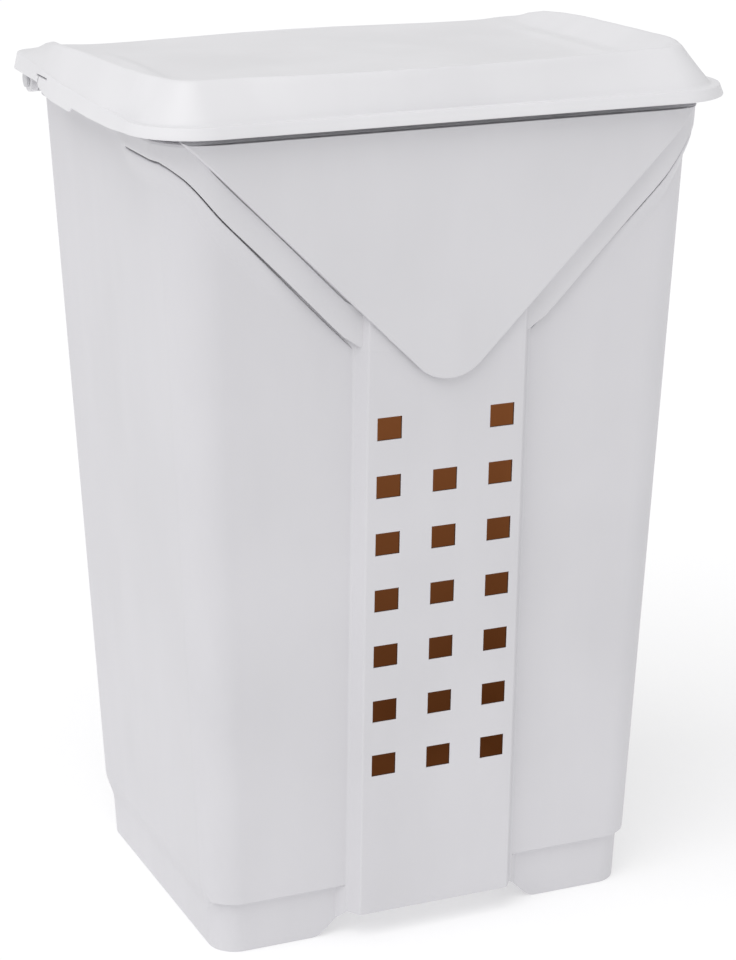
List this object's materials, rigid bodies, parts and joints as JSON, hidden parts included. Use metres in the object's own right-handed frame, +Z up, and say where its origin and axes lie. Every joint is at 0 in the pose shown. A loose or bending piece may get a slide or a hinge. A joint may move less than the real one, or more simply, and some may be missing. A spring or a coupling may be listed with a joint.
{
  "type": "laundry hamper with lid",
  "caption": "Tall tapered plastic laundry hamper with vent holes in a raised front strip, a clip-on collar with a V-shaped flap, and a rear-hinged lid.",
  "frame": {"origin": "on the floor under the middle of the lid's outline", "axes": "+Z up, front with the flap and the holes towards -Y, +X to the right seen from the front"},
  "size_m": [0.416, 0.32, 0.605],
  "materials": {
    "tub_plastic": "fine satin moulded polypropylene",
    "collar_plastic": "fine satin moulded polypropylene",
    "lid_plastic": "semi-gloss moulded polypropylene",
    "pin_plastic": "moulded acetal"
  },
  "bodies": {
    "hamper": {"tub": "tub_plastic", "collar": "collar_plastic", "hinge_bracket_left": "collar_plastic", "hinge_bracket_right": "collar_plastic", "hinge_pin_left": "pin_plastic", "hinge_pin_right": "pin_plastic"},
    "lid": {"lid": "lid_plastic"}
  },
  "joints": [
    {"name": "lid_hinge", "type": "hinge", "parent": "hamper", "child": "lid", "pos_m": [0, 0.15, 0.563], "axis": [-1, 0, 0], "range_deg": [0, 105]}
  ]
}
